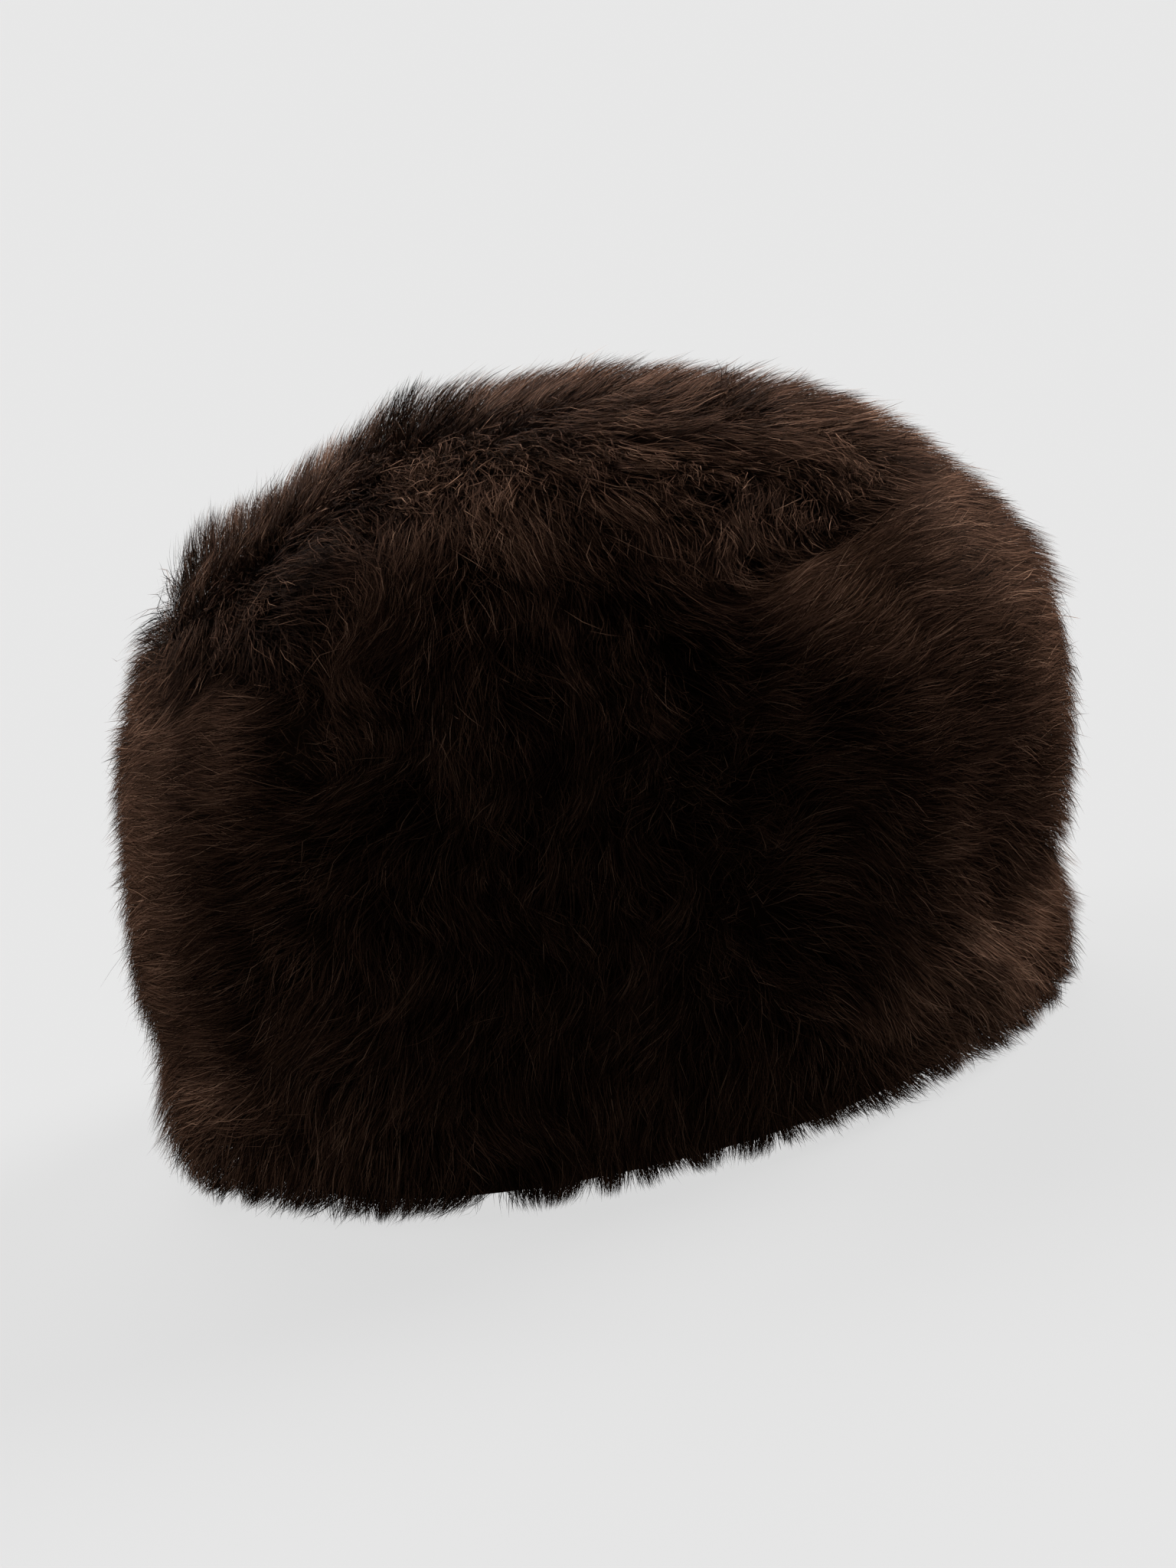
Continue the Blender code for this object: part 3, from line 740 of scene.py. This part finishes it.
def addMesh(name, points, corners, sizes, uv=None):
    # one mesh object at the origin from whole arrays
    mesh = bpy.data.meshes.new(name)
    mesh.vertices.add(len(points))
    mesh.vertices.foreach_set("co", points.astype(np.float32).ravel())
    mesh.loops.add(len(corners))
    mesh.loops.foreach_set("vertex_index", corners.astype(np.int32))
    mesh.polygons.add(len(sizes))
    mesh.polygons.foreach_set("loop_start", np.concatenate([[0], np.cumsum(sizes)[:-1]]).astype(np.int32))
    mesh.polygons.foreach_set("loop_total", np.asarray(sizes, dtype=np.int32))
    mesh.update(calc_edges=True)
    if uv is not None:
        for layer in ("strand", "OFBake"):
            made = mesh.uv_layers.new(name=layer)
            made.data.foreach_set("uv", uv.astype(np.float32).ravel())
    mesh.shade_smooth()
    piece = bpy.data.objects.new(name, mesh)
    scene.collection.objects.link(piece)
    return piece


class Wire:
    # a socket, with the operators that shader maths needs
    def __init__(self, tree, socket):
        self.tree = tree
        self.socket = socket

    def maths(self, operation, first, second):
        node = self.tree.nodes.new("ShaderNodeMath")
        node.operation = operation
        for slot, value in zip(node.inputs, (first, second)):
            if isinstance(value, Wire):
                self.tree.links.new(value.socket, slot)
            else:
                slot.default_value = value
        return Wire(self.tree, node.outputs[0])

    def __add__(self, other):
        return self.maths("ADD", self, other)

    def __radd__(self, other):
        return self.maths("ADD", other, self)

    def __mul__(self, other):
        return self.maths("MULTIPLY", self, other)

    def __rmul__(self, other):
        return self.maths("MULTIPLY", other, self)

    def __pow__(self, other):
        return self.maths("POWER", self, other)


class Finish:
    # one material and its nodes
    def __init__(self, name):
        self.material = bpy.data.materials.new(name)
        self.material.use_nodes = True
        self.tree = self.material.node_tree
        self.shader = self.tree.nodes["Principled BSDF"]

    def node(self, kind, settings=None, sockets=None, output=0):
        made = self.tree.nodes.new(kind)
        for key, value in (settings or {}).items():
            if key == "stops":
                ramp = made.color_ramp
                while len(ramp.elements) < len(value):
                    ramp.elements.new(0.5)
                for element, (place, colour) in zip(ramp.elements, value):
                    element.position = place
                    element.color = (*colour, 1.0)
            else:
                setattr(made, key, value)
        for key, value in (sockets or {}).items():
            self.feed(made.inputs[key], value)
        return Wire(self.tree, made.outputs[output])

    def feed(self, socket, value):
        if isinstance(value, Wire):
            self.tree.links.new(value.socket, socket)
        else:
            socket.default_value = value

    def shaderInputs(self, **values):
        for key, value in values.items():
            self.feed(self.shader.inputs[key.replace("_", " ")], value)
        return self.material


furColours = {
    "ramp": (
        (0.00, (0.0040, 0.0020, 0.0013)),
        (0.35, (0.028, 0.0140, 0.0088)),
        (0.65, (0.082, 0.0420, 0.0265)),
        (1.00, (0.230, 0.1350, 0.0900)),
    ),
    # painted shade: the share of its colour that a strand keeps at its root, darkening it where the pile
    # shades it
    "paintedRootShade": 0.12,
    "roughness": 0.60,
    "specular": 0.02,
    "ior": 1.1,
}


def furMaterial(name):
    # colour = ramp(tone) x (paintedRootShade + (1 - paintedRootShade) along^1.3), shaded by the point
    # attribute outer
    finish = Finish(name)
    strand = finish.node("ShaderNodeUVMap", {"uv_map": "strand"})
    tone = finish.node("ShaderNodeSeparateXYZ", None, {"Vector": strand}, 0)
    along = finish.node("ShaderNodeSeparateXYZ", None, {"Vector": strand}, 1)
    colour = finish.node("ShaderNodeValToRGB", {"stops": furColours["ramp"]}, {"Fac": tone})
    # painted shade: each strand darkens towards its root, in place of the shade deep in the pile
    shade = furColours["paintedRootShade"] + (1 - furColours["paintedRootShade"]) * along ** 1.3
    grey = finish.node("ShaderNodeCombineXYZ", None, {"X": shade, "Y": shade, "Z": shade})
    mixed = finish.node("ShaderNodeMix", {"data_type": "RGBA", "blend_type": "MULTIPLY"},
                        {"Factor": 1.0, 6: colour, 7: grey}, 2)
    outer = finish.node("ShaderNodeAttribute", {"attribute_name": "outer"}, None, 1)
    return finish.shaderInputs(
        Base_Color=mixed, Normal=outer, Roughness=furColours["roughness"],
        Specular_IOR_Level=furColours["specular"], IOR=furColours["ior"])


pelt = {
    "inset": 0.0085,
    "rimInset": 0.0115,
    "rimFade": 0.030,
    "outsideWithin": 0.0035,  # how near the outer form a point of the outside lies
    "floorWithin": 0.0005,
    "outsideColour": (0.0085, 0.0046, 0.0030),
    "insideColour": (0.115, 0.078, 0.052),
    "patchColour": (0.62, 0.58, 0.55),
    "patchShare": 0.6,
    "grainScale": 900.0,
    "grainDepth": 0.0006,
    "grainStrength": 0.6,
    "patchScale": 60.0,
    "roughness": 0.85,
}


def peltMaterial(name):
    # dark underfur outside and bare hide inside, by the point attribute hide, with a fine grain bump
    finish = Finish(name)
    hide = finish.node("ShaderNodeAttribute", {"attribute_name": "hide"}, None, 2)
    place = finish.node("ShaderNodeTexCoord", None, None, 3)
    grain = finish.node("ShaderNodeTexNoise", None,
                        {"Vector": place, "Scale": pelt["grainScale"], "Detail": 3.0})
    cloud = finish.node("ShaderNodeTexNoise", None,
                        {"Vector": place, "Scale": pelt["patchScale"], "Detail": 3.0})
    dark, light = (*pelt["outsideColour"], 1), (*pelt["insideColour"], 1)
    base = finish.node("ShaderNodeMix", {"data_type": "RGBA"}, {"Factor": hide, 6: dark, 7: light}, 2)
    patches = finish.node("ShaderNodeMix", {"data_type": "RGBA", "blend_type": "MULTIPLY"},
                          {"Factor": cloud * pelt["patchShare"], 6: base, 7: (*pelt["patchColour"], 1)}, 2)
    bump = finish.node("ShaderNodeBump", None, {
        "Height": grain, "Distance": pelt["grainDepth"], "Strength": pelt["grainStrength"]})
    return finish.shaderInputs(
        Base_Color=patches, Normal=bump, Roughness=pelt["roughness"],
        Specular_IOR_Level=furColours["specular"], IOR=furColours["ior"])


def peltShell(node, name):
    # the CAD solid's own surface, with the points of its outer form drawn in: p - d inset, and the inset
    # grows to rimInset below rimFade
    corners = nodeTriangles(node).reshape(-1, 3)
    keys = np.round(corners * 1e6).astype(np.int64)
    _, first, index = np.unique(keys, axis=0, return_index=True, return_inverse=True)
    points = corners[first]
    index = index.ravel()
    direction = unit(points - middle)
    far = np.linalg.norm(points - middle, axis=1)
    outside = np.abs(far - reach(direction)) < pelt["outsideWithin"]
    low = np.clip(1 - points[:, 2] / pelt["rimFade"], 0, 1)
    inset = pelt["inset"] + (pelt["rimInset"] - pelt["inset"]) * low
    moved = points - direction * inset[:, None]
    flat = points.copy()
    flat[:, :2] -= unit(points[:, :2]) * inset[:, None]
    onFloor = points[:, 2] < pelt["floorWithin"]
    moved[onFloor] = flat[onFloor]
    points = np.where(outside[:, None], moved, points)
    piece = addMesh(name, points, index, np.full(len(index) // 3, 3))
    hide = piece.data.attributes.new("hide", "FLOAT", "POINT")
    hide.data.foreach_set("value", (~outside).astype(np.float32))
    return piece


strands = growPile()
print("pile grown:", len(strands["points"]), "strands")
height = strands["roots"][:, 2]
turnAll, _ = bearings(strands["roots"] - middle)
crownPart = height > crownSeam
rimPart = height < rimHeight
sidePart = ~crownPart & ~rimPart
quarter = (np.floor((turnAll + 45) / 90) % 4).astype(int)

slots = {"crown_top": "crown_fur", "side_band": "side_fur", "edge_band": "edge_fur"}
furMade = {node: furMaterial(slot + "_strands") for node, slot in slots.items()}
peltMade = {node: peltMaterial(slot + "_pelt") for node, slot in slots.items()}
parts = [
    ("crown_pile", "crown_top", crownPart),
    ("side_pile_front", "side_band", sidePart & (quarter == 0)),
    ("side_pile_left", "side_band", sidePart & (quarter == 1)),
    ("side_pile_back", "side_band", sidePart & (quarter == 2)),
    ("side_pile_right", "side_band", sidePart & (quarter == 3)),
    ("edge_pile", "edge_band", rimPart),
]
for name, node, pick in parts:
    piece = ribbons(strands, pick, name)
    piece.data.materials.append(furMade[node])
    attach(piece, "root")
    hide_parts(node)
    print(name, int(pick.sum()), "strands,", int(pick.sum()) * 5, "triangles")
for node, name in (("crown_top", "crown_pelt"), ("side_band", "side_pelt"), ("edge_band", "edge_pelt")):
    piece = peltShell(node, name)
    piece.data.materials.append(peltMade[node])
    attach(piece, "root")
    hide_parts(node)
print("pelt and pile in place")


studio = {
    "floorRadius": 30.0,
    "floorColour": (0.028, 0.028, 0.028),
    "floorCloud": (0.025, 0.025, 0.025),
    "floorGlow": 0.67,    # keeps the shadow on the floor pale
    "backColour": (0.82, 0.82, 0.82),
    "fill": 0.23,
    # name, turn and height in degrees of where it comes from, strength, spread in degrees
    "suns": (
        ("back", 95, 32, 9.4, 44),
        ("leftRim", 145, 30, 5.8, 34),
        ("rightRim", 32, 30, 13.0, 34),
    ),
}


def makeFloor():
    # a flat disc of 96 corners round the origin
    turn = np.arange(96) * 2 * math.pi / 96
    points = np.stack([np.cos(turn), np.sin(turn), np.zeros(96)], 1) * studio["floorRadius"]
    floor = addMesh("studio_floor", points, np.arange(96), [96])
    finish = Finish("studio_floor_paint")
    place = finish.node("ShaderNodeTexCoord", None, None, 3)
    cloud = finish.node("ShaderNodeTexNoise", None, {"Vector": place, "Scale": 3.0}, 0)
    colour, other = (*studio["floorColour"], 1), (*studio["floorCloud"], 1)
    tone = finish.node("ShaderNodeMix", {"data_type": "RGBA"},
                       {"Factor": cloud * 0.2, 6: colour, 7: other}, 2)
    floor.data.materials.append(finish.shaderInputs(
        Base_Color=tone, Roughness=0.95, Specular_IOR_Level=0.0, IOR=1.01,
        Emission_Color=(1.0, 1.0, 1.0, 1.0), Emission_Strength=studio["floorGlow"]))
    floor.visible_diffuse = False  # the floor casts no light up into the fur


def makeLight():
    # a sun for each row, turned to shine from (cos r cos t, cos r sin t, sin r), and a world that is
    # paler to the camera than to the fur
    for name, turn, rise, strength, spread in studio["suns"]:
        lamp = bpy.data.lights.new(name, "SUN")
        lamp.energy = strength
        lamp.angle = math.radians(spread)
        holder = bpy.data.objects.new(name, lamp)
        turn, rise = math.radians(turn), math.radians(rise)
        level = math.cos(rise)
        source = Vector((level * math.cos(turn), level * math.sin(turn), math.sin(rise)))
        holder.rotation_euler = source.to_track_quat("Z", "Y").to_euler()
        scene.collection.objects.link(holder)
    world = bpy.data.worlds.new("studio")
    scene.world = world
    world.use_nodes = True
    tree = world.node_tree
    back = tree.nodes["Background"]
    back.inputs["Color"].default_value = (*studio["backColour"], 1)
    seen = tree.nodes.new("ShaderNodeLightPath").outputs["Is Camera Ray"]
    strength = Wire(tree, seen) * (1 - studio["fill"]) + studio["fill"]
    tree.links.new(strength.socket, back.inputs["Strength"])


def makeCamera():
    # stands at the eye and looks ahead, with the frame's own right and up
    data = bpy.data.cameras.new("view")
    data.lens = camera["lens"]
    data.sensor_width = camera["sensor"]
    data.clip_start, data.clip_end = 0.05, 100.0
    holder = bpy.data.objects.new("view", data)
    matrix = Matrix((viewRight, viewUp, -viewAhead)).transposed().to_4x4()
    matrix.translation = viewEye
    holder.matrix_world = matrix
    scene.collection.objects.link(holder)
    scene.camera = holder


makeFloor()
makeLight()
makeCamera()
scene.view_settings.view_transform = "Standard"
scene.view_settings.look = "None"
print("studio set")
